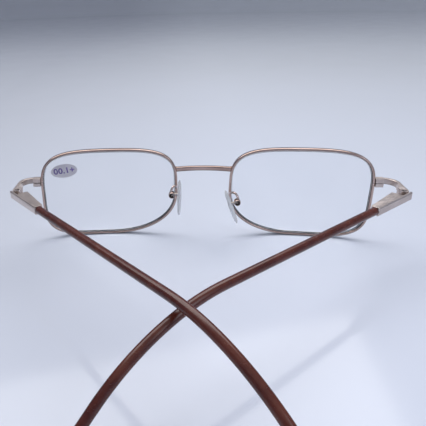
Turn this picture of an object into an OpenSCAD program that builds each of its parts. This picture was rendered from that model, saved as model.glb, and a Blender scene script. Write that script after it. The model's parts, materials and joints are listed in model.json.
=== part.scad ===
// Folding reading glasses: full-rim wire frame, box spring hinges, clear nose pads, sleeved temples.
// Frame: +X to the wearer's right, +Y forward, +Z up, standing on a flat surface at Z = 0 with the
// rims' undersides and one temple tip. "side" is -1 for the left half and 1 for the right half.

/* [Lenses] */
// Width of each lens, bevel tip to bevel tip
eye_w = 48.8; // [42:0.2:56]
// Height of each lens, bevel tip to bevel tip
eye_h = 32.6; // [27:0.2:40]
// Gap between the two lenses at the bridge
lens_gap = 20.4; // [16:0.1:24]
// Roundness of the upper outer corner (2 is an ellipse, more is squarer)
corner_upper_outer = 3.9; // [2:0.1:5]
// Roundness of the upper inner corner
corner_upper_inner = 4.2; // [2:0.1:5]
// Roundness of the lower inner corner
corner_lower_inner = 2.1; // [2:0.1:5]
// Roundness of the lower outer corner
corner_lower_outer = 3.8; // [2:0.1:5]
// Radius of the lens' front surface
front_r = 95; // [70:1:160]
// Radius of the lens' back surface
back_r = 120; // [80:1:250]
// Thickness at the lens' centre
lens_t = 2.1; // [1.8:0.05:3]
// Height of the V bevel round the lens' edge
bevel_h = 0.5; // [0.3:0.05:0.7]
// Half width of the bevel at its foot
bevel_w = 0.4; // [0.25:0.05:0.5]
// Angle by which each lens turns back towards the temple
wrap = 4.2; // [0:0.1:10]

/* [Power sticker] */
// Length of the oval film on the left lens
sticker_l = 9.6; // [5:0.2:14]
// Height of the oval film
sticker_h = 5.4; // [3:0.2:8]
// Film thickness
sticker_t = 0.12; // [0.05:0.01:0.3]
// Distance of the film's centre outwards from the lens' centre
sticker_out = 16.4; // [0:0.2:18]
// Distance of the film's centre above the lens' centre
sticker_up = 9; // [-8:0.2:10]

/* [Rims and bridge] */
// How far the rim's lips reach inside the bevel tip
rim_in = 0.35; // [0.2:0.05:0.45]
// How far the rim stands outside the bevel tip
rim_out = 0.65; // [0.5:0.05:1.2]
// Rim depth, front to back
rim_d = 1.9; // [1.6:0.1:3]
// Play between the bevel and the groove
groove_gap = 0.08; // [0.04:0.01:0.15]
// Bridge height above the lens' centre line
bridge_up = 9; // [0:0.5:11]
// How far the bridge's middle bows forward of its ends
bridge_bow = 1.6; // [0.5:0.1:4]
// Bridge bar height
bridge_h = 1.7; // [1:0.1:3]
// Bridge bar depth
bridge_d = 1.4; // [1:0.1:3]

/* [Rim locks] */
// Height of the rim's split above the lens' centre line
lock_up = 5.5; // [2:0.1:9]
// Lock block width
lock_w = 3.1; // [2.6:0.1:4]
// Lock block depth
lock_d = 2.25; // [2.1:0.05:3]
// Height of the lock's upper half
lock_upper_h = 1.6; // [1.4:0.05:2.5]
// Height of the lock's lower half
lock_lower_h = 1.3; // [1.1:0.05:2.5]
// Saw cut between the two halves
lock_gap = 0.16; // [0.08:0.02:0.4]
// Lock screw's shank radius
lock_screw_r = 0.45; // [0.3:0.05:0.5]
// Lock screw's head radius
lock_head_r = 0.75; // [0.6:0.05:0.8]
// Lock screw's head height
lock_head_h = 0.45; // [0.3:0.05:0.6]

/* [End pieces and hinges] */
// Height of the end piece's band
band_h = 2; // [1.6:0.1:3]
// Thickness of the end piece's band
band_t = 1.3; // [0.8:0.1:1.8]
// Largest radius of the band's bend, at its middle
band_r = 4.2; // [3:0.1:7]
// Distance from the frame's middle to each hinge axis
hinge_x = 64.5; // [60:0.5:75]
// Distance from the bridge's ends back to the hinge axes
hinge_back = 16.3; // [14:0.1:22]
// Outer radius of the hinge barrels
barrel_r = 1.25; // [1.1:0.05:1.6]
// Height of each of the three barrels
barrel_h = 1.05; // [0.9:0.05:1.6]
// Gap between barrels along the axis
barrel_gap = 0.06; // [0.03:0.01:0.15]
// Hinge screw's shank radius
pivot_r = 0.55; // [0.4:0.05:0.6]
// Radial clearance of the turning barrel on the screw
pivot_gap = 0.05; // [0.02:0.01:0.1]
// Hinge screw's head radius
pivot_head_r = 0.85; // [0.7:0.05:0.9]
// Hinge screw's head height
pivot_head_h = 0.4; // [0.3:0.05:0.6]
// Width of the slots in the screw heads
slot_w = 0.22; // [0.15:0.01:0.3]
// Length of the hinge's foot along the end piece
foot_l = 6; // [4:0.1:7]
// Thickness of the hinge's foot
foot_t = 0.5; // [0.3:0.05:0.8]

/* [Nose pads] */
// Height of the left and right pads' pivots above the lenses' centre line
pad_up = [1.6, -1.2]; // [-4:0.1:4]
// Height of the left and right pad arms' roots above the lenses' centre line
arm_up = [2.2, 0]; // [-4:0.1:5]
// Lean of the left and right pads, tops towards the nose
pad_lean = [1, 20.5]; // [0:0.5:22]
// Distance of the left and right pads' pivots from the frame's middle
pad_x = [11.3, 12]; // [11:0.1:13.5]
// Distance of each pad's pivot behind the bridge's ends
pad_back = 7; // [6:0.1:9]
// Pad height
pad_l = 13.6; // [10:0.2:16]
// Pad width
pad_w = 7; // [5:0.2:9]
// Pad thickness
pad_t = 1.5; // [1.2:0.1:2]
// Distance from the pad's middle to its pivot
pad_offset = 2.7; // [2.2:0.1:3.2]
// How far the pad's middle sits below its stud
pad_drop = 1.2; // [0:0.1:2]
// Radius of the pad arm's wire
arm_r = 0.42; // [0.3:0.02:0.5]
// Outer radius of the pad's box
pad_box_r = 1.35; // [1.2:0.05:1.6]
// Wall of the pad's box
pad_box_wall = 0.35; // [0.25:0.05:0.4]
// Length of the pad's box
pad_box_l = 1.75; // [1.6:0.05:2.2]
// Radius of the stud moulded into the pad
stud_r = 0.58; // [0.5:0.02:0.6]
// Radius of the pin through the box and the stud
pin_r = 0.25; // [0.2:0.01:0.3]
// Radial clearance of the stud on the pin
pin_gap = 0.03; // [0.02:0.01:0.08]

/* [Spring boxes] */
// Distance from the hinge axis to the box's front face
box_start = 3.45; // [3:0.05:5]
// Length of the box behind its front face
box_l = 15.3; // [14.5:0.1:20]
// Box height
box_h = 2.7; // [2.5:0.1:4]
// Box width at its front face
box_w_front = 4.5; // [4:0.1:6]
// Box width at the temple sleeve
box_w_back = 2.9; // [2.8:0.1:4]
// Chamfer along the box's edges
box_chamfer = 0.3; // [0.1:0.05:0.4]
// Thickness of the flange that covers the barrels outside
flange_t = 0.8; // [0.6:0.05:1]
// Gap between the flange and the end piece when open
flange_gap = 0.12; // [0.05:0.01:0.3]
// Radius of the box's spring chamber
chamber_r = 0.95; // [0.85:0.01:1]
// Length of the box's spring chamber
chamber_l = 9.6; // [9:0.1:11]
// Radius of the tongue's rod
rod_r = 0.5; // [0.4:0.02:0.55]
// Radial clearance of the rod in its bush
rod_gap = 0.04; // [0.02:0.01:0.05]
// Length of the bush in the chamber's mouth
bush_l = 1.4; // [1:0.1:2]
// Length of the nut on the rod's end
nut_l = 1; // [0.8:0.1:1.5]
// Room behind the nut for the spring travel
nut_room = 0.6; // [0.4:0.1:1]
// Radius of the nut on the rod's end
nut_r = 0.85; // [0.75:0.01:0.88]
// Spring wire radius
spring_wire_r = 0.12; // [0.08:0.01:0.14]
// Number of spring turns
spring_turns = 7; // [5:1:9]

/* [Temples] */
// Radius of the temple sleeve
sleeve_r = 1.3; // [1.1:0.05:1.4]
// Radius of the core wire in the sleeve
core_r = 0.7; // [0.5:0.05:0.8]
// Radial clearance round the core wire
core_gap = 0.03; // [0.02:0.01:0.08]
// How far the core wire reaches into the spring box
core_in = 4; // [3:0.1:4.5]
// Distance from the hinge axis to the start of the bend
bend_x = 83.8; // [75:0.2:100]
// Radius of the bend behind the ear
bend_r = 56.8; // [30:0.2:80]
// Angle of the bend behind the ear
bend_a = 42.2; // [30:0.2:50]
// Solid end of the sleeve past the core wire
sleeve_end = 4; // [2:0.1:6]

/* [Pose] */
// Fold of the left and right temples from fully open
fold = [40, 48.5]; // [0:0.5:60]
// Rise of the open temples towards the ears
temple_rise = 1.4; // [0:0.1:4]
// Sideways lean of the left and right hinge axes, which lifts a folding temple
hinge_lean = [2.4, -0.5]; // [-3:0.1:3]

/* [Hidden] */
$fn = 64;
eps = 0.01;
rim_steps = 72;

// Colours
rose_metal = [0.66, 0.58, 0.54];
dark_metal = [0.35, 0.3, 0.28];
clear = [0.85, 0.9, 0.95, 0.35];
brown = [0.24, 0.09, 0.06];
film = [0.6, 0.6, 0.64, 0.6];

// Lens outline and surfaces, in each lens' own frame: [outwards, up]
half_w = eye_w / 2;
half_h = eye_h / 2;
lens_x = lens_gap / 2 + half_w * cos(wrap);
lens_z = half_h + rim_out;

function corner(t) =
    cos(t) >= 0 ? (sin(t) >= 0 ? corner_upper_outer : corner_lower_outer)
                : (sin(t) >= 0 ? corner_upper_inner : corner_lower_inner);
function signed_pow(v, p) = sign(v) * pow(abs(v), p);
// Evens out the points' spacing between the flat sides and the corners
even = 0.8;
function outline(t) =
    let (n = corner(t), c = signed_pow(cos(t), even), s = signed_pow(sin(t), even),
         k = pow(pow(abs(c), n) + pow(abs(s), n), 1 / n))
    [half_w * c / k, half_h * s / k];
function outline_normal(t) =
    let (n = corner(t), p = outline(t),
         g = [signed_pow(p.x / half_w, n - 1) / half_w, signed_pow(p.y / half_h, n - 1) / half_h])
    g / norm(g);
function outline_out(t, r) = outline(t) + r * outline_normal(t);
// Angle at which the outer half of the outline reaches a height
function angle_at(h, upper, lower) =
    let (n = h < 0 ? lower : upper, v = abs(h) / half_h, u = pow(1 - pow(v, n), 1 / n))
    sign(h) * atan2(pow(v, 1 / even), pow(u, 1 / even));
function outer_angle(h) = angle_at(h, corner_upper_outer, corner_lower_outer);
function inner_angle(h) = 180 - angle_at(h, corner_upper_inner, corner_lower_inner);

function sag(radius, p) = radius - sqrt(radius * radius - p * p);
function front_y(p) = lens_t / 2 - sag(front_r, p);
function back_y(p) = -lens_t / 2 - sag(back_r, p);
function middle_y(p) = (front_y(p) + back_y(p)) / 2;

// A point of a lens' frame in the frame of the right half: [outwards, forward, up]
function from_lens(p) = [
    lens_x + p.x * cos(wrap) + p.y * sin(wrap),
    -p.x * sin(wrap) + p.y * cos(wrap),
    lens_z + p.z
];
function rim_point(t, r) =
    let (p = outline_out(t, r)) from_lens([p.x, middle_y(p), p.y]);

// Places that follow from the rims
lock_t = outer_angle(lock_up);
lock_at = rim_point(lock_t, 0);
lock_z = lens_z + lock_up;
lock_in = lock_at.x + groove_gap + 0.07;
lock_front = lock_at.y + lock_d / 2 - 0.3;
lock_screw_x = lock_in + lock_w - lock_head_r - 0.35;
hinge_y = -hinge_back;
hinge_z = lock_z;

bridge_end = rim_point(inner_angle(bridge_up), -0.5);
bridge_radius = (pow(bridge_end.x, 2) + pow(bridge_bow, 2)) / (2 * bridge_bow);
bridge_angle = asin(bridge_end.x / bridge_radius);

// End piece: out from the lock, round the bend and back to the hinge
band_y = lock_front + band_t / 2;
band_out = hinge_x + barrel_r + 0.15 + flange_t;
leg_x = band_out - band_t / 2;
bend_room = leg_x - lock_in - lock_w;
corner_r = max(min(band_r, bend_room), band_t);
leg_end = hinge_y + barrel_r + 0.2;
clevis_h = 3 * barrel_h + 2 * barrel_gap;

// Spring box
box_out = band_out - hinge_x;
box_end = box_start + box_l;
arm_y = box_out - box_w_back / 2;
chamber_end = box_start + chamber_l;
nut_start = chamber_end - nut_room - nut_l;
spring_start = box_start + bush_l;
spring_r = rod_r + rod_gap + spring_wire_r + 0.08;
flange_x = -(barrel_r + 0.2) + flange_gap;

// Nose pads
pad_z = [for (u = pad_up) lens_z + u];
pad_box_in = 0.7;

function pick(pair, side) = pair[side < 0 ? 0 : 1];

// Direction of a vector of the right hinge's frame [back, out, up] once folded and leaned
function folded(v, side) =
    let (f = pick(fold, side), lean = pick(hinge_lean, side), rise = temple_rise,
         x = v.y * cos(f) - v.x * sin(f),
         y = -v.x * cos(f) - v.y * sin(f),
         y2 = y * cos(rise) + v.z * sin(rise),
         z2 = v.z * cos(rise) - y * sin(rise))
    [x * cos(lean) + z2 * sin(lean), y2, z2 * cos(lean) - x * sin(lean)];

// The tip ends on the supporting surface on the lower side, which sets its straight length
bend_end = [bend_x + bend_r * sin(bend_a), arm_y, -bend_r * (1 - cos(bend_a))];
tip_dir = [cos(bend_a), 0, -sin(bend_a)];
low_side = pick(hinge_lean, -1) < pick(hinge_lean, 1) ? -1 : 1;
tip_l = (hinge_z + folded(bend_end, low_side).z - sleeve_r) / -folded(tip_dir, low_side).z;
tip_end = bend_end + tip_l * tip_dir;

// The origin lies under the middle of the whole
rear_y = min([for (side = [-1, 1]) hinge_y + folded(tip_end, side).y]) - sleeve_r;
front_edge_y = bridge_end.y + bridge_bow + bridge_d / 2;
origin_y = -(rear_y + front_edge_y) / 2;

// ---------------------------------------------------------------- frames

module sided(side) {
    if (side < 0) {
        mirror([1, 0, 0]) children();
    } else {
        children();
    }
}

module in_front(side) {
    translate([0, origin_y, 0]) sided(side) children();
}

// A lens' own frame: X outwards, Y forward, Z up
module in_lens(side) {
    in_front(side) translate([lens_x, 0, lens_z]) rotate([0, 0, -wrap]) children();
}

// The hinge's frame with the temple open: X back along the temple, Y outwards, Z up the axis
module in_hinge(side) {
    in_front(side)
        translate([hinge_x, hinge_y, hinge_z])
        rotate([-temple_rise, pick(hinge_lean, side), 0])
        rotate([0, 0, -90])
        children();
}

module in_temple(side) {
    in_hinge(side) rotate([0, 0, -pick(fold, side)]) children();
}

// The pad's frame at its pivot: X outwards from the nose, Y forward along the pin, Z up the pad
module in_pad(side, lean) {
    in_front(side)
        translate([pick(pad_x, side), -pad_back, pick(pad_z, side)])
        rotate([0, -lean, 0])
        children();
}

// ---------------------------------------------------------------- shared shapes

// Two triangles between neighbouring points of neighbouring rings of n points
function ring_faces(rings, n) = [
    for (i = [0 : rings - 2], j = [0 : n - 1], k = [0, 1])
        let (a = i * n + j, b = i * n + (j + 1) % n, c = a + n, d = b + n)
        k == 0 ? [a, b, d] : [a, d, c]
];

// Closed skin through rings of points, with a flat cap on the first and last ring. Each ring's
// first point sees all of its others.
module capped_skin(rings) {
    n = len(rings[0]);
    last = (len(rings) - 1) * n;
    polyhedron(
        points = [for (ring = rings, p = ring) p],
        faces = concat(
            ring_faces(len(rings), n),
            [for (j = [1 : n - 2]) [0, j + 1, j]],
            [for (j = [1 : n - 2]) [last, last + j, last + j + 1]]
        ),
        convexity = 6
    );
}

// Closed skin through rings of points, closed by a middle point at each end
module pointed_skin(first, rings, last) {
    n = len(rings[0]);
    count = len(rings) * n;
    polyhedron(
        points = concat([for (ring = rings, p = ring) p], [first, last]),
        faces = concat(
            ring_faces(len(rings), n),
            [for (j = [0 : n - 1]) [count, (j + 1) % n, j]],
            [for (j = [0 : n - 1]) [count + 1, count - n + j, count - n + (j + 1) % n]]
        ),
        convexity = 4
    );
}

// Ring of n points of radius r round a point, square to a direction
function tube_ring(at, along, r, n) =
    let (d = along / norm(along), s = cross(d, [0.31, 0.2, 0.93]), u = s / norm(s), v = cross(d, u))
    [for (j = [0 : n - 1]) at + r * (cos(360 * j / n) * u - sin(360 * j / n) * v)];

function bezier(p, t) =
    pow(1 - t, 3) * p[0] + 3 * t * pow(1 - t, 2) * p[1] + 3 * t * t * (1 - t) * p[2] + pow(t, 3) * p[3];
function bezier_dir(p, t) =
    pow(1 - t, 2) * (p[1] - p[0]) + 2 * t * (1 - t) * (p[2] - p[1]) + t * t * (p[3] - p[2]);

module x_cylinder(r, h) {
    rotate([0, 90, 0]) cylinder(r = r, h = h);
}

// A slotted screw along +Z, its head's top at Z = 0
module slotted_screw(shank_r, length, head_r, head_h) {
    difference() {
        union() {
            translate([0, 0, -head_h]) cylinder(r = head_r, h = head_h);
            translate([0, 0, -length]) cylinder(r = shank_r, h = length - head_h + eps);
        }
        translate([-head_r - 1, -slot_w / 2, -head_h / 2])
            cube([2 * head_r + 2, slot_w, head_h]);
    }
}

// ---------------------------------------------------------------- lenses

function lens_edge_ring(inset, y_of) = [
    for (j = [0 : rim_steps - 1])
        let (p = outline_out(360 * j / rim_steps, -inset))
        [p.x, y_of(norm(p)), p.y]
];
function lens_inner_ring(share, y_of) = [
    for (j = [0 : rim_steps - 1])
        let (p = share * outline_out(360 * j / rim_steps, -bevel_h))
        [p.x, y_of(norm(p)), p.y]
];
function bevel_front(p) = middle_y(p) + bevel_w;
function bevel_back(p) = middle_y(p) - bevel_w;

module lens(side) {
    front = function(p) front_y(p);
    back = function(p) back_y(p);
    shares = [0.3, 0.6, 0.85];
    color(clear) in_lens(side) pointed_skin(
        [0, front_y(0), 0],
        concat(
            [for (s = shares) lens_inner_ring(s, front)],
            [
                lens_edge_ring(bevel_h, front),
                lens_edge_ring(bevel_h, function(p) bevel_front(p)),
                lens_edge_ring(0, function(p) middle_y(p)),
                lens_edge_ring(bevel_h, function(p) bevel_back(p)),
                lens_edge_ring(bevel_h, back)
            ],
            [for (k = [2 : -1 : 0]) lens_inner_ring(shares[k], back)]
        ),
        [0, back_y(0), 0]
    );
}

// Oval film lying on the left lens' front surface
module power_sticker() {
    lift = 0.02;
    steps = 32;
    turn = 4;
    function place(share, j, up) =
        let (
            u = share * sticker_l / 2 * cos(360 * j / steps),
            v = share * sticker_h / 2 * sin(360 * j / steps),
            a = sticker_out + u * cos(turn) + v * sin(turn),
            b = sticker_up - u * sin(turn) + v * cos(turn)
        )
        [a, front_y(norm([a, b])) + up, b];
    shares = [0.4, 0.75, 1];
    top = lift + sticker_t;
    color(film) in_lens(-1) pointed_skin(
        place(0, 0, top),
        concat(
            [for (s = shares) [for (j = [0 : steps - 1]) place(s, j, top)]],
            [for (k = [2 : -1 : 0]) [for (j = [0 : steps - 1]) place(shares[k], j, lift)]]
        ),
        place(0, 0, lift)
    );
}

// ---------------------------------------------------------------- rims and bridge

// Rim section round the bevel tip: [outwards, forward]
mouth = (rim_in + groove_gap) * bevel_w / bevel_h;
rim_half = [
    [-rim_in, mouth],
    [-rim_in, rim_d / 2 - 0.25],
    [-rim_in + 0.22, rim_d / 2],
    [rim_out - 0.3, rim_d / 2],
    [rim_out, rim_d / 2 - 0.35]
];
rim_section = concat(
    [[groove_gap, 0]],
    rim_half,
    [for (k = [len(rim_half) - 1 : -1 : 0]) [rim_half[k].x, -rim_half[k].y]]
);

// The rim runs once round the lens, from one side of the lock's saw cut to the other
module rim(side) {
    start = outer_angle(lock_up + lock_gap / 2);
    end = 360 + outer_angle(lock_up - lock_gap / 2);
    angles = concat(
        [start],
        [for (j = [1 : 2 * rim_steps])
            let (t = 360 * j / rim_steps)
            if (t > start + 1 && t < end - 1) t],
        [end]
    );
    color(rose_metal) in_lens(side) capped_skin([
        for (t = angles)
            let (middle = outline(t))
            [for (q = rim_section)
                let (p = outline_out(t, q.x))
                [p.x, middle_y(norm(middle)) + q.y, p.y]]
    ]);
}

// All that lies inside the rim's outer surface, to fit other pieces' ends against it
module inside_rim(side) {
    in_lens(side)
        rotate([90, 0, 0])
        linear_extrude(height = 40, center = true)
        polygon([for (j = [0 : rim_steps - 1]) outline_out(360 * j / rim_steps, rim_out)]);
}

module bridge() {
    cut = 0.25;
    y = bridge_d / 2;
    z = bridge_h / 2;
    color(rose_metal) difference() {
        translate([0, origin_y + bridge_end.y + bridge_bow - bridge_radius, lens_z + bridge_up])
            rotate([0, 0, 90 - bridge_angle])
            rotate_extrude(angle = 2 * bridge_angle, $fn = 180)
            translate([bridge_radius, 0])
            polygon([
                [-y, -z + cut], [-y + cut, -z], [y - cut, -z], [y, -z + cut],
                [y, z - cut], [y - cut, z], [-y + cut, z], [-y, z - cut]
            ]);
        inside_rim(-1);
        inside_rim(1);
    }
}

// ---------------------------------------------------------------- rim locks and end pieces

// Half of the lock, shaped to the rim's outside, clear of the end piece if it has a recess
module lock_block(side, z, h, recess) {
    difference() {
        in_front(side) translate([lock_in, lock_front - lock_d, z]) cube([lock_w, lock_d - recess, h]);
        inside_rim(side);
    }
}

module at_lock_screw(z) {
    translate([lock_screw_x, lock_front - lock_d / 2, z]) children();
}

module lock_upper(side) {
    z = lock_z + lock_gap / 2;
    color(rose_metal) difference() {
        lock_block(side, z, lock_upper_h, 0);
        in_front(side) at_lock_screw(z - 1)
            cylinder(r = lock_screw_r + 0.02, h = 1 + lock_upper_h - 0.35);
    }
}

module lock_lower(side) {
    z = lock_z - lock_gap / 2 - lock_lower_h;
    color(rose_metal) difference() {
        lock_block(side, z, lock_lower_h, 0.1);
        in_front(side) at_lock_screw(z - 1) {
            cylinder(r = lock_screw_r + 0.05, h = lock_lower_h + 2);
            cylinder(r = lock_head_r + 0.05, h = 1 + lock_head_h + 0.05);
        }
    }
}

module lock_screw(side) {
    z = lock_z - lock_gap / 2 - lock_lower_h;
    reach = lock_lower_h + lock_gap + lock_upper_h - 0.6;
    color(dark_metal) in_front(side)
        at_lock_screw(z + 0.03)
        rotate([180, 0, 0])
        slotted_screw(lock_screw_r, reach, lock_head_r, lock_head_h);
}

// Bent flat band, drawn as its outer and inner edges seen from above
module end_piece(side) {
    start = lock_in + rim_out;
    bend = [leg_x - corner_r, band_y - corner_r];
    function arc(r, a) = bend + r * [sin(a), cos(a)];
    outer = corner_r + band_t / 2;
    inner = corner_r - band_t / 2;
    color(rose_metal) in_front(side)
        translate([0, 0, lock_z - band_h / 2])
        linear_extrude(height = band_h)
        polygon(concat(
            [[start, bend.y + inner], [start, bend.y + outer]],
            [for (a = [0 : 6 : 90]) arc(outer, a)],
            [[bend.x + outer, leg_end], [bend.x + inner, leg_end]],
            [for (a = [90 : -6 : 0]) arc(inner, a)]
        ));
}

// ---------------------------------------------------------------- hinges

// Two outer barrels with lugs to a web, on a foot brazed inside the end piece
module front_hinge(side) {
    leg_in = leg_x - band_t / 2;
    web_y = hinge_y + barrel_r + 0.2;
    web_l = 1.6;
    inner_x = hinge_x - barrel_r + 0.2;
    color(rose_metal) difference() {
        union() {
            in_hinge(side) for (k = [-1, 1]) {
                z = k * (barrel_h + barrel_gap) - barrel_h / 2;
                translate([0, 0, z]) cylinder(r = barrel_r, h = barrel_h);
                translate([-barrel_r - 1, -barrel_r + 0.3, z])
                    cube([barrel_r + 1, 2 * barrel_r - 0.75, barrel_h]);
            }
            in_front(side) {
                translate([inner_x, web_y, hinge_z - clevis_h / 2])
                    cube([leg_in - inner_x, web_l, clevis_h]);
                translate([leg_in - foot_t, web_y, hinge_z - band_h / 2])
                    cube([foot_t, foot_l, band_h]);
            }
        }
        in_hinge(side) {
            translate([0, 0, -clevis_h]) cylinder(r = pivot_r + 0.02, h = 2 * clevis_h);
            translate([0, 0, clevis_h / 2 - pivot_head_h - 0.05])
                cylinder(r = pivot_head_r + 0.05, h = pivot_head_h + 1);
        }
    }
}

module hinge_screw(side) {
    color(dark_metal) in_hinge(side)
        translate([0, 0, clevis_h / 2 - 0.05])
        rotate([0, 0, 25])
        slotted_screw(pivot_r, clevis_h - 0.1, pivot_head_r, pivot_head_h);
}

// The turning middle barrel, with the tongue and rod that slide in the spring box
module hinge_tongue(side) {
    plate_y = barrel_r - 0.2;
    rod_end = nut_start + nut_l;
    color(rose_metal) in_temple(side) difference() {
        union() {
            translate([0, 0, -barrel_h / 2]) cylinder(r = barrel_r, h = barrel_h);
            translate([0, -plate_y, -barrel_h / 2]) cube([box_start - 0.05, 2 * plate_y, barrel_h]);
            translate([box_start - 0.4, 0, 0]) x_cylinder(rod_r, rod_end - box_start + 0.4);
        }
        translate([0, 0, -barrel_h]) cylinder(r = pivot_r + pivot_gap, h = 2 * barrel_h);
    }
}

module rod_nut(side) {
    color(dark_metal) in_temple(side) translate([nut_start, 0, 0]) difference() {
        x_cylinder(nut_r, nut_l);
        translate([-1, 0, 0]) x_cylinder(rod_r + 0.01, nut_l + 2);
    }
}

module spring(side) {
    per_turn = 10;
    sides = 6;
    length = nut_start - spring_start - 2 * spring_wire_r - 0.1;
    count = spring_turns * per_turn;
    x0 = spring_start + spring_wire_r + 0.05;
    color(dark_metal) in_temple(side) capped_skin([
        for (i = [0 : count])
            let (
                out = [0, cos(360 * i / per_turn), sin(360 * i / per_turn)],
                centre = [x0 + length * i / count, 0, 0] + spring_r * out
            )
            [for (j = [0 : sides - 1])
                let (a = 360 * j / sides)
                centre + spring_wire_r * (cos(a) * out + sin(a) * [1, 0, 0])]
    ]);
}

module spring_bush(side) {
    color(dark_metal) in_temple(side) translate([box_start, 0, 0]) difference() {
        x_cylinder(chamber_r - 0.01, bush_l);
        translate([-1, 0, 0]) x_cylinder(rod_r + rod_gap, bush_l + 2);
    }
}

module spring_box(side) {
    in_front_y = box_out - box_w_front;
    in_back_y = box_out - box_w_back;
    c = box_chamfer;
    h = box_h / 2;
    color(rose_metal) in_temple(side) difference() {
        intersection() {
            translate([0, 0, -h]) linear_extrude(height = box_h) polygon([
                [flange_x, box_out - flange_t], [flange_x, box_out - c], [flange_x + c, box_out],
                [box_end - c, box_out], [box_end, box_out - c], [box_end, in_back_y + c],
                [box_end - c, in_back_y], [box_start + c, in_front_y], [box_start, in_front_y + c],
                [box_start, box_out - flange_t]
            ]);
            translate([flange_x - 1, 0, 0]) rotate([90, 0, 90])
                linear_extrude(height = box_end - flange_x + 2) polygon([
                    [in_front_y - 1, -h], [box_out - c, -h], [box_out, -h + c],
                    [box_out, h - c], [box_out - c, h], [in_front_y - 1, h]
                ]);
        }
        translate([box_start - 1, 0, 0]) x_cylinder(chamber_r, chamber_l + 1);
        translate([box_end - core_in - 0.1, arm_y, 0]) x_cylinder(core_r + core_gap, core_in + 1);
    }
}

// ---------------------------------------------------------------- temples

// A round bar along the temple: straight, round the bend, then straight down to the tip. The end
// is drawn by the caller, along +Z from a little inside the bend, and is a hair thinner there.
ledge = 0.02;
tip_in = 0.2;
module temple_bar(r, start) {
    translate([start, arm_y, 0]) x_cylinder(r, bend_x - start);
    translate([bend_x, arm_y, -bend_r])
        rotate([0, -90, -90])
        rotate_extrude(angle = bend_a, $fn = 180)
        translate([bend_r, 0])
        circle(r = r, $fn = 48);
    translate(bend_end) rotate([0, bend_a, 0]) rotate([0, 90, 0]) translate([0, 0, -tip_in]) children();
}

module temple_core(side) {
    color(rose_metal) in_temple(side)
        temple_bar(core_r, box_end - core_in)
        cylinder(r = core_r - ledge, h = tip_in + max(tip_l - sleeve_end, 0.5));
}

module temple_sleeve(side) {
    bore_r = core_r + core_gap;
    tip_r = sleeve_r - ledge;
    color(brown) in_temple(side) difference() {
        temple_bar(sleeve_r, box_end)
            rotate_extrude(angle = 360) {
                square([tip_r, tip_in + tip_l]);
                intersection() {
                    translate([0, tip_in + tip_l]) circle(r = tip_r);
                    square([tip_r, tip_in + tip_l + tip_r]);
                }
            }
        temple_bar(bore_r, box_end - 1)
            cylinder(r = bore_r - ledge, h = tip_in + max(tip_l - sleeve_end, 0.5) + 0.05);
    }
}

// ---------------------------------------------------------------- nose pads

module pad_arm(side) {
    root = rim_point(inner_angle(pick(arm_up, side)), 0.15);
    root_z = lens_z + pick(arm_up, side);
    top_x = pick(pad_x, side);
    top_z = pick(pad_z, side) + pad_box_r - pad_box_wall / 2;
    route = [
        [root.x, root.y - rim_d / 2 + 0.25, root_z],
        [root.x - 0.4, root.y - rim_d / 2 - 2.8, root_z + 1.2],
        [top_x - 0.6, -pad_back + 0.3, top_z + 3.4],
        [top_x + 0.3, -pad_back, top_z]
    ];
    rings = 12;
    color(rose_metal) in_front(side) capped_skin([
        for (k = [0 : rings])
            let (t = k / rings)
            tube_ring(bezier(route, t), bezier_dir(route, t), arm_r, 8)
    ]);
}

// Round box that takes the pad's stud, open towards the nose
module pad_box(side) {
    color(rose_metal) in_pad(side, 0) difference() {
        translate([-pad_box_in, 0, 0]) x_cylinder(pad_box_r, pad_box_l);
        translate([-pad_box_in - 1, 0, 0])
            x_cylinder(pad_box_r - pad_box_wall, pad_box_l + 1 - pad_box_wall);
        translate([0, pad_box_r + 1, 0]) rotate([90, 0, 0]) cylinder(r = pin_r, h = 2 * pad_box_r + 2);
    }
}

module pad_pin(side) {
    color(dark_metal) in_pad(side, 0)
        translate([0, pad_box_r, 0])
        rotate([90, 0, 0])
        cylinder(r = pin_r - 0.005, h = 2 * pad_box_r);
}

module pad_stud(side) {
    length = pad_offset - pad_t / 2 + 0.3;
    color(dark_metal) in_pad(side, pick(pad_lean, side)) difference() {
        translate([-length, 0, 0]) x_cylinder(stud_r, length + 0.3);
        translate([0, 2, 0]) rotate([90, 0, 0]) cylinder(r = pin_r + pin_gap, h = 4);
    }
}

// Domed oval pad, a little wider at the bottom
module pad(side) {
    steps = 32;
    function ring(share, x) = [
        for (j = [0 : steps - 1])
            let (a = 360 * j / steps, widen = 1 - 0.14 * sin(a))
            [x - pad_offset, share * pad_w / 2 * cos(a) * widen, share * pad_l / 2 * sin(a) - pad_drop]
    ];
    half = pad_t / 2;
    color(clear) in_pad(side, pick(pad_lean, side)) pointed_skin(
        [-half - pad_offset, 0, -pad_drop],
        [
            ring(0.55, -0.93 * half), ring(0.86, -0.68 * half), ring(0.97, -0.34 * half),
            ring(1, 0),
            ring(0.97, 0.34 * half), ring(0.9, 0.68 * half), ring(0.75, 0.93 * half)
        ],
        [half - pad_offset, 0, -pad_drop]
    );
}

// ---------------------------------------------------------------- nodes

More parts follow.
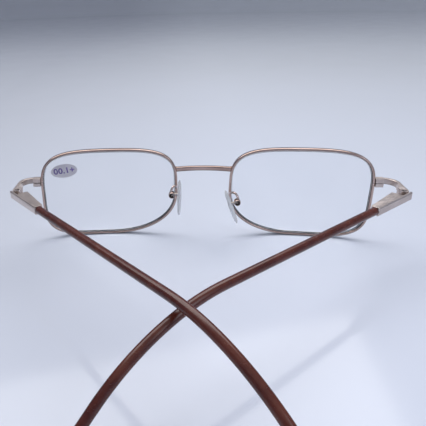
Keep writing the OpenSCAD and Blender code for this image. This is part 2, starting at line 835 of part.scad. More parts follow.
bridge();
power_sticker();
rim(-1);  // left_rim
rim(1);  // right_rim
lens(-1);  // left_lens
lens(1);  // right_lens
lock_upper(-1);  // left_lock_upper
lock_upper(1);  // right_lock_upper
lock_lower(-1);  // left_lock_lower
lock_lower(1);  // right_lock_lower
lock_screw(-1);  // left_lock_screw
lock_screw(1);  // right_lock_screw
end_piece(-1);  // left_end_piece
end_piece(1);  // right_end_piece
front_hinge(-1);  // left_front_hinge
front_hinge(1);  // right_front_hinge
hinge_screw(-1);  // left_hinge_screw
hinge_screw(1);  // right_hinge_screw
pad_arm(-1);  // left_pad_arm
pad_arm(1);  // right_pad_arm
pad_box(-1);  // left_pad_box
pad_box(1);  // right_pad_box
pad_pin(-1);  // left_pad_pin
pad_pin(1);  // right_pad_pin
pad_stud(-1);  // left_pad_stud
pad_stud(1);  // right_pad_stud
pad(-1);  // left_pad
pad(1);  // right_pad
hinge_tongue(-1);  // left_hinge_tongue
hinge_tongue(1);  // right_hinge_tongue
rod_nut(-1);  // left_rod_nut
rod_nut(1);  // right_rod_nut
spring(-1);  // left_spring
spring(1);  // right_spring
spring_bush(-1);  // left_spring_bush
spring_bush(1);  // right_spring_bush
spring_box(-1);  // left_spring_box
spring_box(1);  // right_spring_box
temple_core(-1);  // left_temple_core
temple_core(1);  // right_temple_core
temple_sleeve(-1);  // left_temple_sleeve
temple_sleeve(1);  // right_temple_sleeve
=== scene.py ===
import json
import math

import bmesh
import bpy
from mathutils import Matrix, Vector
from mathutils.bvhtree import BVHTree

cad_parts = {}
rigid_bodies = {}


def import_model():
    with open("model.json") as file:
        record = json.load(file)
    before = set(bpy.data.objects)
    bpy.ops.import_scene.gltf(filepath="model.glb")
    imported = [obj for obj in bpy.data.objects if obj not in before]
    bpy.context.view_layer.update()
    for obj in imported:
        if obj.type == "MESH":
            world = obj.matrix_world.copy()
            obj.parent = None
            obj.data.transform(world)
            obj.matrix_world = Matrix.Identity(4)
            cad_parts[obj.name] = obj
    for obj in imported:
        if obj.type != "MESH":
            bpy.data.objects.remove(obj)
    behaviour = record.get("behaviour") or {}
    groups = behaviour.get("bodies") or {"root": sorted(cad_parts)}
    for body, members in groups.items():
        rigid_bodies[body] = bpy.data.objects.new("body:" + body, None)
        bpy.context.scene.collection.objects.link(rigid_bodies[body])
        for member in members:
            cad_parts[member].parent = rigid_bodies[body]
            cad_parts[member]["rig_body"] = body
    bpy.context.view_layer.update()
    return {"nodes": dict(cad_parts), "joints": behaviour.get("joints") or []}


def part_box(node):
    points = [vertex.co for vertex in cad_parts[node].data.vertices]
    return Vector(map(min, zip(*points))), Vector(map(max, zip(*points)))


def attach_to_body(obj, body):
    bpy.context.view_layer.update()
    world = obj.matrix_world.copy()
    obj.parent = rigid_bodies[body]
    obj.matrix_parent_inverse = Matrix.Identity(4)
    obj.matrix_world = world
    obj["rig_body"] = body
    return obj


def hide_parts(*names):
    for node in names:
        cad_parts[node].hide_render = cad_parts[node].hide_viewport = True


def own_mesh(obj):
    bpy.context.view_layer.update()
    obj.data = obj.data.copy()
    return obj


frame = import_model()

MM = 0.001
SIDES = ("left", "right")
scene = bpy.context.scene
JOINTS = {j["name"]: j for j in frame["joints"]}

BEVEL_FROM_DEG = 32  # edges sharper than this are rounded


# ------------------------------------------------------------------ meshes

def link(name, mesh):
    obj = bpy.data.objects.new(name, mesh)
    scene.collection.objects.link(obj)
    return obj


def attach(obj, body, slot, material, *nodes):
    """Puts a finished piece on its body, with its finish, and hides the CAD nodes it stands for; the
    slot is not used.
    """
    obj.data.materials.clear()
    obj.data.materials.append(material)
    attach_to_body(obj, body)
    if nodes:
        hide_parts(*nodes)
    return obj


def cleaned(node, flat_deg=0.15):
    """The node's mesh welded into one skin, with the triangles of flat faces joined up."""
    bm = bmesh.new()
    bm.from_mesh(frame["nodes"][node].data)
    bmesh.ops.remove_doubles(bm, verts=bm.verts, dist=0.002 * MM)
    bmesh.ops.dissolve_limit(
        bm, angle_limit=math.radians(flat_deg), verts=bm.verts, edges=bm.edges
    )
    bmesh.ops.recalc_face_normals(bm, faces=bm.faces)
    return bm


def to_mesh(bm, name, sharp_deg=35):
    mesh = bpy.data.meshes.new(name)
    bm.to_mesh(mesh)
    bm.free()
    for extra in ("custom_normal", "sharp_edge", "sharp_face"):
        if extra in mesh.attributes:
            mesh.attributes.remove(mesh.attributes[extra])
    while mesh.uv_layers:
        mesh.uv_layers.remove(mesh.uv_layers[0])
    mesh.shade_smooth()
    mesh.set_sharp_from_angle(angle=math.radians(sharp_deg))
    return mesh


def fine_copy(node, slot, material, edge, segments=3):
    """A node rebuilt with rounded edges and smooth shading, standing for the plain one."""
    name = node + "_fine"
    obj = link(name, to_mesh(cleaned(node), name, 40 if edge else 50))
    if edge:
        bevel = obj.modifiers.new("rounded_edges", "BEVEL")
        bevel.width = edge * MM
        bevel.segments = segments
        bevel.limit_method = "ANGLE"
        bevel.angle_limit = math.radians(BEVEL_FROM_DEG)
        bevel.use_clamp_overlap = True
        bevel.harden_normals = False
        weighted = obj.modifiers.new("weighted_normals", "WEIGHTED_NORMAL")
        weighted.keep_sharp = True
    return attach(obj, frame["nodes"][node]["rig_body"], slot, material, node)


def skin(name, rings):
    """A tube through rings of points, closed at both ends, with rounded shading."""
    bm = bmesh.new()
    loops = [[bm.verts.new(p) for p in ring] for ring in rings]
    count = len(rings[0])
    for a, b in zip(loops, loops[1:]):
        for j in range(count):
            k = (j + 1) % count
            bm.faces.new((a[j], a[k], b[k], b[j]))
    bm.faces.new(loops[0][::-1])
    bm.faces.new(loops[-1])
    bmesh.ops.recalc_face_normals(bm, faces=bm.faces)
    return link(name, to_mesh(bm, name, 50))


# ------------------------------------------------------------------ materials

class Look:
    """A node material: a Principled shader with its fixed values set on its own sockets."""

    def __init__(self, name, **values):
        self.mat = bpy.data.materials.new(name)
        self.mat.use_nodes = True
        self.tree = self.mat.node_tree
        self.shader = self.tree.nodes["Principled BSDF"]
        for key, value in values.items():
            self.shader.inputs[key.replace("_", " ")].default_value = value
        self.place = self.node("ShaderNodeTexCoord").outputs["Object"]

    def node(self, kind, **props):
        n = self.tree.nodes.new(kind)
        for key, value in props.items():
            setattr(n, key, value)
        return n

    def join(self, a, b):
        self.tree.links.new(a, b)

    def noise(self, scale, detail=3.0, roughness=0.5, stretch=None):
        n = self.node("ShaderNodeTexNoise")
        n.inputs["Scale"].default_value = scale
        n.inputs["Detail"].default_value = detail
        n.inputs["Roughness"].default_value = roughness
        source = self.place
        if stretch:
            m = self.node("ShaderNodeMapping")
            m.inputs["Scale"].default_value = stretch
            self.join(source, m.inputs["Vector"])
            source = m.outputs["Vector"]
        self.join(source, n.inputs["Vector"])
        return n.outputs["Fac"]

    def ramp(self, fac, *stops):
        r = self.node("ShaderNodeValToRGB")
        line = r.color_ramp.elements
        while len(line) < len(stops):
            line.new(0.5)
        for stop, (at, colour) in zip(line, stops):
            stop.position = at
            stop.color = (*colour, 1)
        self.join(fac, r.inputs["Fac"])
        return r.outputs["Color"]

    def span(self, fac, low, high, start=0.3, end=0.7):
        """A number that goes from low to high as the pattern goes from start to end."""
        m = self.node("ShaderNodeMapRange")
        m.inputs["From Min"].default_value = start
        m.inputs["From Max"].default_value = end
        m.inputs["To Min"].default_value = low
        m.inputs["To Max"].default_value = high
        self.join(fac, m.inputs["Value"])
        return m.outputs["Result"]

    def blend(self, fac, a, b):
        m = self.node("ShaderNodeMix", data_type="RGBA")
        for value, socket in ((fac, m.inputs[0]), (a, m.inputs[6]), (b, m.inputs[7])):
            if isinstance(value, bpy.types.NodeSocket):
                self.join(value, socket)
            elif isinstance(value, tuple):
                socket.default_value = (*value, 1)
            else:
                socket.default_value = value
        return m.outputs[2]

    def colour(self, socket):
        self.join(socket, self.shader.inputs["Base Color"])

    def rough(self, socket):
        self.join(socket, self.shader.inputs["Roughness"])

    def bump(self, *layers):
        """Layers of (pattern, depth in mm, strength), each on top of the one before."""
        last = None
        for pattern, depth, strength in layers:
            b = self.node("ShaderNodeBump")
            b.inputs["Distance"].default_value = depth * MM
            b.inputs["Strength"].default_value = strength
            self.join(pattern, b.inputs["Height"])
            if last:
                self.join(last, b.inputs["Normal"])
            last = b.outputs["Normal"]
        self.join(last, self.shader.inputs["Normal"])

    def painted_edge_highlight(self):
        """Near 1 on outer edges and 0 on flat faces: the mask for painted edge highlights."""
        g = self.node("ShaderNodeNewGeometry")
        return self.span(g.outputs["Pointiness"], 0.0, 1.0, 0.51, 0.6)

    def painted_underside_shade(self):
        """Near 1 where the surface faces down: the mask for painted shade on downward faces."""
        axes = self.node("ShaderNodeSeparateXYZ")
        self.join(self.node("ShaderNodeNewGeometry").outputs["Normal"], axes.inputs[0])
        return self.span(axes.outputs["Z"], 1.0, 0.0, -0.5, 0.02)

    def lets_lamps_through(self, tint=(1, 1, 1)):
        """Glass whose shadow is the tint rather than black."""
        path = self.node("ShaderNodeLightPath")
        clear = self.node("ShaderNodeBsdfTransparent")
        clear.inputs["Color"].default_value = (*tint, 1)
        mix = self.node("ShaderNodeMixShader")
        out = self.tree.nodes["Material Output"]
        self.join(path.outputs["Is Shadow Ray"], mix.inputs[0])
        self.join(self.shader.outputs[0], mix.inputs[1])
        self.join(clear.outputs[0], mix.inputs[2])
        self.join(mix.outputs[0], out.inputs["Surface"])


def plated(name, dark, light, highlight_colour, rough=(0.2, 0.34), grain=(1, 1, 1)):
    """Plated metal: drifting tone, fine grain, hairline polish, painted highlights on the outer
    edges and painted shade on faces that look down.
    """
    look = Look(name, Metallic=1.0)
    drift = look.noise(110, 4.0, 0.55)
    tone = look.ramp(drift, (0.34, dark), (0.66, light))
    specks = look.span(look.noise(1900, 2.0, 0.6), 0.0, 0.1, 0.6, 0.75)
    tone = look.blend(specks, tone, tuple(0.6 * c for c in dark))
    # Painted highlight: outer edges are lightened towards the highlight colour.
    tone = look.blend(look.painted_edge_highlight(), tone, highlight_colour)
    # Painted shade: faces that look down are darkened towards 0.22 of the dark tone.
    look.colour(look.blend(look.painted_underside_shade(), tone, tuple(0.22 * c for c in dark)))
    look.rough(look.span(look.noise(500, 3.0, 0.6, grain), rough[0], rough[1]))
    look.bump(
        (look.noise(240, 2.0, 0.5), 0.01, 0.1),
        (look.noise(3600, 2.0, 0.5, grain), 0.0015, 0.12),
    )
    return look.mat


rose = plated(
    "rose_plating", (0.44, 0.315, 0.27), (0.56, 0.42, 0.37), (0.74, 0.6, 0.55), (0.13, 0.24)
)
satin = plated(
    "satin_plating", (0.52, 0.435, 0.395), (0.63, 0.54, 0.50), (0.82, 0.72, 0.67), (0.3, 0.44)
)
braze = plated("braze_metal", (0.42, 0.22, 0.14), (0.62, 0.40, 0.30), (0.72, 0.52, 0.42), (0.3, 0.5))
screw_steel = plated("screw_steel", (0.18, 0.15, 0.14), (0.32, 0.27, 0.25), (0.5, 0.44, 0.41))
spring_wire = plated("spring_wire", (0.42, 0.42, 0.43), (0.58, 0.58, 0.6), (0.7, 0.7, 0.72))
core_wire = plated("core_wire", (0.4, 0.36, 0.34), (0.55, 0.5, 0.47), (0.7, 0.66, 0.62))


def brown_acetate():
    look = Look("brown_acetate", IOR=1.46, Specular_IOR_Level=0.6)
    cloud = look.noise(70, 5.0, 0.55, (1, 1, 2.5))
    streak = look.noise(420, 3.0, 0.6, (1, 1, 0.35))
    tone = look.ramp(cloud, (0.32, (0.075, 0.012, 0.008)), (0.68, (0.135, 0.030, 0.017)))
    tone = look.blend(look.span(streak, 0.0, 0.45, 0.5, 0.75), tone, (0.18, 0.05, 0.028))
    look.colour(tone)
    scuff = look.noise(1500, 4.0, 0.7, (0.4, 0.4, 2.0))
    look.rough(look.span(scuff, 0.2, 0.32, 0.45, 0.75))
    look.bump((look.noise(240, 2.0, 0.5), 0.03, 0.12), (look.noise(4200, 2.0), 0.003, 0.12))
    return look.mat


def clear_lens():
    look = Look(
        "clear_lens", IOR=1.5, Transmission_Weight=1.0, Coat_Weight=0.4, Coat_Roughness=0.03
    )
    haze = look.noise(45, 3.0, 0.5)
    look.colour(look.ramp(haze, (0.35, (0.955, 0.965, 0.975)), (0.65, (0.985, 0.99, 0.995))))
    wipe = look.noise(260, 5.0, 0.65, (1.0, 1.0, 0.25))
    look.rough(look.span(wipe, 0.0, 0.03, 0.55, 0.8))
    look.bump((look.noise(60, 1.0), 0.01, 0.05))
    look.lets_lamps_through((0.95, 0.96, 0.97))
    return look.mat


def clear_silicone():
    look = Look("clear_silicone", IOR=1.41, Transmission_Weight=0.6)
    cloud = look.noise(300, 4.0, 0.6)
    look.colour(look.ramp(cloud, (0.3, (0.90, 0.92, 0.95)), (0.7, (0.96, 0.97, 0.99))))
    look.rough(look.span(look.noise(1400, 3.0, 0.6), 0.1, 0.24))
    look.bump((look.noise(900, 3.0, 0.6), 0.01, 0.3))
    look.lets_lamps_through((0.84, 0.86, 0.88))
    return look.mat


def grey_film():
    look = Look("grey_film", IOR=1.2, Transmission_Weight=0.6)
    crease = look.noise(420, 4.0, 0.6, (1, 1, 3))
    look.colour(look.ramp(crease, (0.3, (0.60, 0.575, 0.63)), (0.7, (0.70, 0.675, 0.72))))
    look.rough(look.span(look.noise(1600, 3.0), 0.3, 0.48))
    look.bump((crease, 0.02, 0.3), (look.noise(3200, 2.0), 0.004, 0.3))
    look.lets_lamps_through((0.8, 0.79, 0.84))
    return look.mat


def violet_ink():
    look = Look("violet_ink")
    patch = look.noise(2400, 4.0, 0.65)
    look.colour(look.ramp(patch, (0.3, (0.075, 0.02, 0.27)), (0.75, (0.15, 0.065, 0.4))))
    look.rough(look.span(patch, 0.4, 0.6))
    look.bump((patch, 0.004, 0.3))
    return look.mat


# Near-black with faint flecks: painted shade, for the gap at the sleeve's mouth and the deep inside
# of the pad cups.
def painted_shade_look():
    look = Look("painted_gap_shade")
    fleck = look.noise(2600, 3.0, 0.6)
    look.colour(look.ramp(fleck, (0.3, (0.012, 0.008, 0.008)), (0.7, (0.03, 0.02, 0.018))))
    look.rough(look.span(fleck, 0.45, 0.7))
    look.bump((fleck, 0.006, 0.3))
    return look.mat


acetate, lens_look, silicone = brown_acetate(), clear_lens(), clear_silicone()
film, ink, shade_black = grey_film(), violet_ink(), painted_shade_look()


# ------------------------------------------------------------------ frame front

# As in the CAD model: each eye's turn, and the wire inside and outside the lens' edge
WRAP = math.radians(4.2)
WIRE_IN, WIRE_OUT, WIRE_DEPTH = 0.35 * MM, 0.65 * MM, 1.9 * MM
WIRE_STEPS = 28  # points round the wire's section
WIRE_POWER = 2 / 2.9  # below 1 makes the section squarer than an oval
CUT_ROOM = 0.3 * MM  # half the height left open at the lock


def outermost(points):
    """The points on the outline of a convex shape seen from the front, in order round it."""
    rest = sorted(points, key=lambda p: (p.x, p.z))

    def half(seq):
        chain = []
        for p in seq:
            while len(chain) > 1:
                a, b = chain[-2], chain[-1]
                if (b.x - a.x) * (p.z - a.z) - (b.z - a.z) * (p.x - a.x) > 1e-13:
                    break
                chain.pop()
            chain.append(p)
        return chain[:-1]

    return half(rest) + half(rest[::-1])


def smooth_loop(points, parts):
    """A closed Catmull-Rom curve through the points."""
    n, out = len(points), []
    for i in range(n):
        a, b, c, d = (points[(i + k) % n] for k in (-1, 0, 1, 2))
        for j in range(parts):
            t = j / parts
            out.append(
                0.5 * (2 * b + (c - a) * t + (2 * a - 5 * b + 4 * c - d) * t * t
                       + (3 * b - a - 3 * c + d) * t ** 3)
            )
    return out


def squared(a, power):
    """Cosine and sine of an angle, pushed towards a square for a power below 1."""
    c, s = math.cos(a), math.sin(a)
    return math.copysign(abs(c) ** power, c), math.copysign(abs(s) ** power, s)


def rim_wire(side, sign):
    """The rim as a rounded wire swept round the lens' edge, open at the lock's saw cut."""
    lens_points = [v.co.copy() for v in frame["nodes"][f"{side}_lens"].data.vertices]
    edge = smooth_loop(outermost(lens_points), 4)
    middle = sum(edge, Vector()) / len(edge)
    cut_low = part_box(f"{side}_lock_lower")[1].z
    cut_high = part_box(f"{side}_lock_upper")[0].z
    cut_mid = (cut_low + cut_high) / 2

    def is_cut(p):
        return sign * (p.x - middle.x) > 0 and abs(p.z - cut_mid) < CUT_ROOM

    def angle(p):
        return math.atan2(p.z - middle.z, sign * (p.x - middle.x))

    cut_angle = angle(min((p for p in edge if is_cut(p)), key=lambda p: abs(p.z - cut_mid)))
    path = sorted(
        (p for p in edge if not is_cut(p)), key=lambda p: (angle(p) - cut_angle) % (2 * math.pi)
    )

    def to_height(a, b, z):
        return a + (b - a) * ((z - a.z) / (b.z - a.z))

    path.insert(0, to_height(path[1], path[0], cut_high))
    path.append(to_height(path[-2], path[-1], cut_low))
    forward = Vector((sign * math.sin(WRAP), math.cos(WRAP), 0))
    half_width = (WIRE_OUT + WIRE_IN) / 2
    rings = []
    for i, p in enumerate(path):
        along = path[min(i + 1, len(path) - 1)] - path[max(i - 1, 0)]
        outward = along.cross(forward).normalized()
        if outward.dot(p - middle) < 0:
            outward = -outward
        ring = []
        for j in range(WIRE_STEPS):
            c, q = squared(2 * math.pi * j / WIRE_STEPS, WIRE_POWER)
            r = (WIRE_OUT - WIRE_IN) / 2 + half_width * c
            ring.append(p + outward * r + forward * (WIRE_DEPTH / 2 * q))
        rings.append(ring)
    wire = skin(f"{side}_rim_wire", rings)
    attach(wire, "front", "frame_metal", rose, f"{side}_rim")


fine_copy("bridge", "frame_metal", rose, 0.3, 5)
for side, sign in zip(SIDES, (-1, 1)):
    rim_wire(side, sign)
    fine_copy(f"{side}_lens", "lens", lens_look, 0)
    fine_copy(f"{side}_lock_upper", "frame_metal", satin, 0.3, 4)
    fine_copy(f"{side}_lock_lower", "frame_metal", satin, 0.18, 4)
    fine_copy(f"{side}_lock_screw", "screws", screw_steel, 0.05, 2)
    fine_copy(f"{side}_end_piece", "frame_metal", satin, 0.2, 4)
    fine_copy(f"{side}_front_hinge", "frame_metal", satin, 0.1, 3)
    fine_copy(f"{side}_hinge_screw", "screws", screw_steel, 0.06, 2)
    fine_copy(f"{side}_pad_arm", "frame_metal", rose, 0)
    fine_copy(f"{side}_pad_pin", "screws", screw_steel, 0.04, 2)
    fine_copy(f"{side}_pad_stud", "screws", core_wire, 0.06, 2)


def lathe(name, centre, axis, profile, steps=40, loop=False):
    """A profile of (radius, distance along the axis) in mm, turned round the axis."""
    axis = Vector(axis).normalized()
    u = axis.orthogonal().normalized()
    v = axis.cross(u)
    bm = bmesh.new()
    rings = []
    for r, t in profile:
        at = Vector(centre) + axis * (t * MM)
        if r == 0:
            rings.append([bm.verts.new(at)])
            continue
        turns = (2 * math.pi * j / steps for j in range(steps))
        rings.append(
            [bm.verts.new(at + (u * math.cos(a) + v * math.sin(a)) * (r * MM)) for a in turns]
        )
    pairs = list(zip(rings, rings[1:])) + ([(rings[-1], rings[0])] if loop else [])
    for a, b in pairs:
        for j in range(steps):
            k = (j + 1) % steps
            if len(a) == 1:
                bm.faces.new((a[0], b[k], b[j]))
            elif len(b) == 1:
                bm.faces.new((a[j], a[k], b[0]))
            else:
                bm.faces.new((a[j], a[k], b[k], b[j]))
    bmesh.ops.recalc_face_normals(bm, faces=bm.faces)
    return link(name, to_mesh(bm, name, 50))


# Nose pad cups: turned shells with painted shade in the recess at the back and a slot for the stud
CUP = (
    (0, -1.2), (0.6, -1.2), (0.92, -1.08), (1.1, -0.8), (1.16, -0.2), (1.17, 0.8),
    (1.12, 1.18), (1.04, 1.29), (0.94, 1.3), (0.87, 1.2), (0.84, 0.85), (0.8, 0.62),
    (0.5, 0.5), (0, 0.5),
)
SLOT_OFF = 1.0  # from the pivot towards the nose, in mm
SLOT_SIZE = (2.4, 1.5, 2.0)
PAINTED_SHADE_FROM, PAINTED_SHADE_RADIUS = 0.45, 0.9  # the dark inside of the cup
for side, sign in zip(SIDES, (-1, 1)):
    low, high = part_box(f"{side}_pad_pin")
    pivot = (low + high) / 2
    cup = lathe(f"{side}_pad_cup", pivot, (0, -1, 0), CUP)
    cutter_bm = bmesh.new()
    bmesh.ops.create_cube(cutter_bm, size=1)
    slot_centre = pivot + Vector((-sign * SLOT_OFF * MM, 0, 0))
    for v in cutter_bm.verts:
        v.co = slot_centre + v.co * Vector(SLOT_SIZE) * MM
    cutter = link("cutter", to_mesh(cutter_bm, "cutter"))
    cutting = cup.modifiers.new("stud_slot", "BOOLEAN")
    cutting.object, cutting.operation, cutting.solver = cutter, "DIFFERENCE", "EXACT"
    bpy.context.view_layer.update()
    cut_mesh = bpy.data.meshes.new_from_object(
        cup.evaluated_get(bpy.context.evaluated_depsgraph_get())
    )
    cup.modifiers.clear()
    cup.data = cut_mesh
    bpy.data.objects.remove(cutter)
    cut_mesh.shade_smooth()
    cut_mesh.set_sharp_from_angle(angle=math.radians(40))
    attach(cup, "front", "frame_metal", rose, f"{side}_pad_box")
    cup.data.materials.append(shade_black)
    # Painted shade: faces deep in the cup's recess take the near-black material.
    for face in cup.data.polygons:
        off = face.center - pivot
        radius = math.hypot(off.x, off.z)
        if -off.y > PAINTED_SHADE_FROM * MM and radius < PAINTED_SHADE_RADIUS * MM:
            face.material_index = 1


# Pads: soft domed ovals, rounder than their CAD solids
for side in SIDES:
    node = f"{side}_pad"
    pad = link(node + "_soft", to_mesh(cleaned(node), node + "_soft", 80))
    rounder = pad.modifiers.new("rounder", "SUBSURF")
    rounder.levels = rounder.render_levels = 2
    attach(pad, frame["nodes"][node]["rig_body"], "pad", silicone, node)


# Braze fillets where the bridge meets the rims and the end pieces leave the locks
FILLET_RINGS, FILLET_STEPS, FILLET_POWER = 9, 28, 0.62
FILLET_THIN = 0.02 * MM  # what stays proud at the thin end


def fillet(name, at, along, half_u, half_v, flare, length):
    """A concave collar round a bar: wide at the joint and thinning out along the bar."""
    along = Vector(along).normalized()
    up = Vector((0, 0, 1))
    u = along.cross(up).normalized()
    v = u.cross(along).normalized()
    rings = []
    for k in range(FILLET_RINGS):
        t = k / (FILLET_RINGS - 1)
        grow = FILLET_THIN + flare * (1 - t) ** 2.2
        centre = Vector(at) + along * (length * t)
        ring = []
        for j in range(FILLET_STEPS):
            c, s = squared(2 * math.pi * j / FILLET_STEPS, FILLET_POWER)
            ring.append(centre + u * c * (half_u + grow) + v * s * (half_v + grow))
        rings.append(ring)
    attach(skin(name, rings), "front", "frame_metal", braze)


bridge_low, bridge_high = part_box("bridge")
bridge_mid_z = (bridge_low.z + bridge_high.z) / 2
bridge_points = [v.co.copy() for v in frame["nodes"]["bridge"].data.vertices]
bridge_half_z = (bridge_high.z - bridge_low.z) / 2
for side, sign in zip(SIDES, (-1, 1)):
    tips = sorted(bridge_points, key=lambda p: -sign * p.x)[:24]
    end = sum(tips, Vector()) / len(tips)
    end.z = bridge_mid_z
    lean = Vector((-sign, 0.28, 0)).normalized()
    fillet(
        f"bridge_braze_{side}", end - lean * (0.35 * MM), lean, 0.7 * MM, bridge_half_z,
        0.3 * MM, 1.1 * MM,
    )


# Braze line where the end piece leaves the lock
for side, sign in zip(SIDES, (-1, 1)):
    low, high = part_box(f"{side}_lock_upper")
    band_low, band_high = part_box(f"{side}_end_piece")
    outer_x = high.x if sign > 0 else low.x
    at = Vector((outer_x - sign * 0.1 * MM, 0, (band_low.z + band_high.z) / 2))
    front_pts = [
        v.co for v in frame["nodes"][f"{side}_end_piece"].data.vertices
        if abs(v.co.x) < abs(outer_x) + 0.4 * MM
    ]
    ys = [p.y for p in front_pts]
    at.y = (min(ys) + max(ys)) / 2
    fillet(
        f"lock_braze_{side}", at, (sign, 0, 0), (max(ys) - min(ys)) / 2,
        (band_high.z - band_low.z) / 2, 0.14 * MM, 0.6 * MM,
    )


# ------------------------------------------------------------------ temples

def temple_frame(side):
    """The hinge point and the direction back along the temple, at rest."""
    fold, flex = JOINTS[f"{side}_fold"], JOINTS[f"{side}_flex"]
    up = Vector(fold["axis"]).normalized()
    back = Vector(flex["axis"]).normalized()
    low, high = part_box(f"{side}_temple_sleeve")
    origin = Vector(fold["pos_m"])
    if back.dot((low + high) / 2 - origin) < 0:
        back = -back
    back = (back - up * back.dot(up)).normalized()
    return origin, back


def along_temple(side, node):
    """How far back along the temple a node starts and ends."""
    origin, back = temple_frame(side)
    reach = [(v.co - origin).dot(back) for v in frame["nodes"][node].data.vertices]
    return min(reach), max(reach)


for side in SIDES:
    body = f"{side}_temple_body"
    fine_copy(f"{side}_hinge_tongue", "frame_metal", satin, 0.08, 3)
    fine_copy(f"{side}_spring_box", "frame_metal", satin, 0.14, 4)
    fine_copy(f"{side}_temple_sleeve", "sleeve", acetate, 0.14, 3)
    spring = fine_copy(f"{side}_spring", "spring_steel", spring_wire, 0)
    origin, back = temple_frame(side)
    start, stop = along_temple(side, f"{side}_spring")
    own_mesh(spring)
    start, _ = along_temple(side, f"{side}_temple_sleeve")
    mouth = [
        v.co for v in frame["nodes"][f"{side}_temple_sleeve"].data.vertices
        if (v.co - origin).dot(back) < start + 0.02 * MM
    ]
    # A near-black ring at the sleeve's mouth: painted shade for the gap between spring box and
    # sleeve.
    attach(
        lathe(
            f"{side}_gap_ring", sum(mouth, Vector()) / len(mouth), back,
            ((1.2, 0.0), (1.33, 0.01), (1.34, 0.1), (1.31, 0.17), (1.2, 0.2)), 48, True,
        ),
        body, "sleeve", shade_black,
    )
    for node, look in (
        ("rod_nut", screw_steel), ("spring_bush", core_wire), ("temple_core", core_wire),
    ):
        obj = frame["nodes"][f"{side}_{node}"]
        for slot in obj.material_slots:
            slot.material = look
        if not obj.material_slots:
            obj.data.materials.append(look)


# ------------------------------------------------------------------ power sticker

DIGIT_HEIGHT, DIGIT_EXTRUDE, DIGIT_WEIGHT = 3.1 * MM, 0.074 * MM, 0.085 * MM
DIGIT_TURN = math.radians(4)
DIGIT_SINK = 0.062 * MM  # how far the digits reach into the film
fine_copy("power_sticker", "sticker", film, 0)
sticker_low, sticker_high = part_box("power_sticker")
sticker_mid = (sticker_low + sticker_high) / 2
sticker_mesh = frame["nodes"]["power_sticker"].data
sticker_tree = BVHTree.FromPolygons(
    [v.co for v in sticker_mesh.vertices], [list(f.vertices) for f in sticker_mesh.polygons]
)
words = bpy.data.curves.new("power_digits", "FONT")
words.body = "+1.00"
words.size = DIGIT_HEIGHT
words.align_x, words.align_y = "CENTER", "CENTER"
words.space_character = 1.06
words.extrude = DIGIT_EXTRUDE
words.offset = DIGIT_WEIGHT
words.resolution_u = 6
words_obj = bpy.data.objects.new("digits_source", words)
scene.collection.objects.link(words_obj)
bpy.context.view_layer.update()
digits_mesh = bpy.data.meshes.new_from_object(
    words_obj.evaluated_get(bpy.context.evaluated_depsgraph_get())
)
bpy.data.objects.remove(words_obj)
for v in digits_mesh.vertices:
    u, w, lift = v.co
    x = sticker_mid.x - (u * math.cos(DIGIT_TURN) + w * math.sin(DIGIT_TURN))
    z = sticker_mid.z + (-u * math.sin(DIGIT_TURN) + w * math.cos(DIGIT_TURN))
    hit = sticker_tree.ray_cast(Vector((x, sticker_high.y + 5 * MM, z)), Vector((0, -1, 0)))
    y = hit[0].y if hit[0] else sticker_mid.y
    v.co = (x, y + lift - DIGIT_SINK, z)
digits_mesh.update()
digits = link("power_digits", digits_mesh)
attach(digits, "front", "sticker", ink)


# ------------------------------------------------------------------ stage, lights and camera

def floor_look():
    look = Look("pale_floor", IOR=1.45)
    grain = look.noise(30, 3.0, 0.5)
    axes = look.node("ShaderNodeSeparateXYZ")
    look.join(look.place, axes.inputs[0])
    # Painted light falloff: the floor is lighter at the front and darker towards the back and to the
    # left.
    painted_far_dimming = look.span(axes.outputs["Y"], 0.0, 1.0, -0.06, 0.45)
    tone = look.blend(painted_far_dimming, (0.78, 0.83, 0.97), (0.72, 0.755, 0.83))
    left = look.span(axes.outputs["X"], 1.0, 0.0, -0.16, 0.03)
    tone = look.blend(left, tone, (0.60, 0.63, 0.71))
    look.colour(look.blend(look.span(grain, 0.0, 0.03), tone, (0.8, 0.84, 0.95)))
    look.rough(look.span(grain, 0.09, 0.13))
    return look.mat


# Floor and backdrop in one turned skin, in mm: a flat disc, a quarter round and a wall
FLAT_R, ROUND_R, WALL_TOP, ROUND_STEPS = 1300, 500, 1900, 12
bowl = [(0, 0), (200, 0), (FLAT_R, 0)]
for k in range(1, ROUND_STEPS + 1):
    a = math.radians(90 * k / ROUND_STEPS)
    bowl.append((FLAT_R + ROUND_R * math.sin(a), ROUND_R * (1 - math.cos(a))))
bowl.append((FLAT_R + ROUND_R, WALL_TOP))
floor = lathe("floor", (0, 0, 0), (0, 0, 1), bowl, 96)
floor.data.flip_normals()
floor.data.materials.append(floor_look())


def softbox(name, at, aim, size, power, colour):
    lamp = bpy.data.lights.new(name, "AREA")
    lamp.shape = "RECTANGLE"
    lamp.size, lamp.size_y = size
    lamp.energy = power
    lamp.color = colour
    obj = bpy.data.objects.new(name, lamp)
    scene.collection.objects.link(obj)
    obj.location = at
    obj.rotation_mode = "QUATERNION"
    obj.rotation_quaternion = (Vector(aim) - Vector(at)).to_track_quat("-Z", "Y")


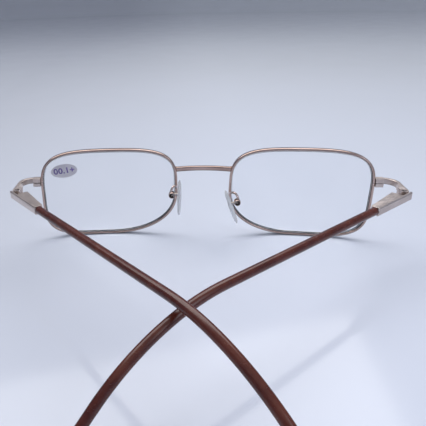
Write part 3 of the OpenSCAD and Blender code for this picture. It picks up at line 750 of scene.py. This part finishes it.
softbox("key", (-0.12, 0.36, 0.66), (0, 0, 0.01), (1.1, 0.5), 4.7, (1.0, 0.985, 0.965))
softbox("fill", (0.55, -0.35, 0.45), (0, 0, 0.01), (0.4, 0.4), 0.9, (0.94, 0.96, 1.0))

SKY_STRENGTH = 0.47
SKY_LOW, SKY_HIGH = (0.5, 0.52, 0.56, 1), (0.94, 0.96, 1.0, 1)
world = bpy.data.worlds.new("studio")
scene.world = world
world.use_nodes = True
back = world.node_tree.nodes["Background"]
back.inputs["Strength"].default_value = SKY_STRENGTH
sky = world.node_tree.nodes.new("ShaderNodeTexCoord")
axes = world.node_tree.nodes.new("ShaderNodeSeparateXYZ")
fade = world.node_tree.nodes.new("ShaderNodeValToRGB")
fade.color_ramp.elements[0].position = 0.0
fade.color_ramp.elements[0].color = SKY_LOW
fade.color_ramp.elements[1].position = 0.55
fade.color_ramp.elements[1].color = SKY_HIGH
world.node_tree.links.new(sky.outputs["Generated"], axes.inputs[0])
world.node_tree.links.new(axes.outputs["Z"], fade.inputs["Fac"])
world.node_tree.links.new(fade.outputs["Color"], back.inputs["Color"])

CAMERA_AT = (-0.00866, -0.11517, 0.08939)
YAW, PITCH, ROLL = (math.radians(a) for a in (4.896, 25.039, -1.746))
SENSOR = 36  # mm
FOCAL_SHARE = 504.65 / 426  # focal length as a share of the frame's width
SHIFT_X = 0.1714
forward = Vector(
    (-math.sin(YAW) * math.cos(PITCH), math.cos(YAW) * math.cos(PITCH), -math.sin(PITCH))
)
right = Vector((math.cos(YAW), math.sin(YAW), 0))
upward = right.cross(forward)
cam_x = math.cos(ROLL) * right + math.sin(ROLL) * upward
cam_y = -math.sin(ROLL) * right + math.cos(ROLL) * upward
cam_data = bpy.data.cameras.new("photo_camera")
cam_data.sensor_width = SENSOR
cam_data.lens = SENSOR * FOCAL_SHARE
cam_data.shift_x = SHIFT_X
cam_data.clip_start, cam_data.clip_end = 0.002, 20
cam = bpy.data.objects.new("photo_camera", cam_data)
scene.collection.objects.link(cam)
turned = Matrix((cam_x, cam_y, -forward)).transposed().to_4x4()
cam.matrix_world = Matrix.Translation(CAMERA_AT) @ turned
scene.camera = cam
scene.view_settings.view_transform = "Standard"
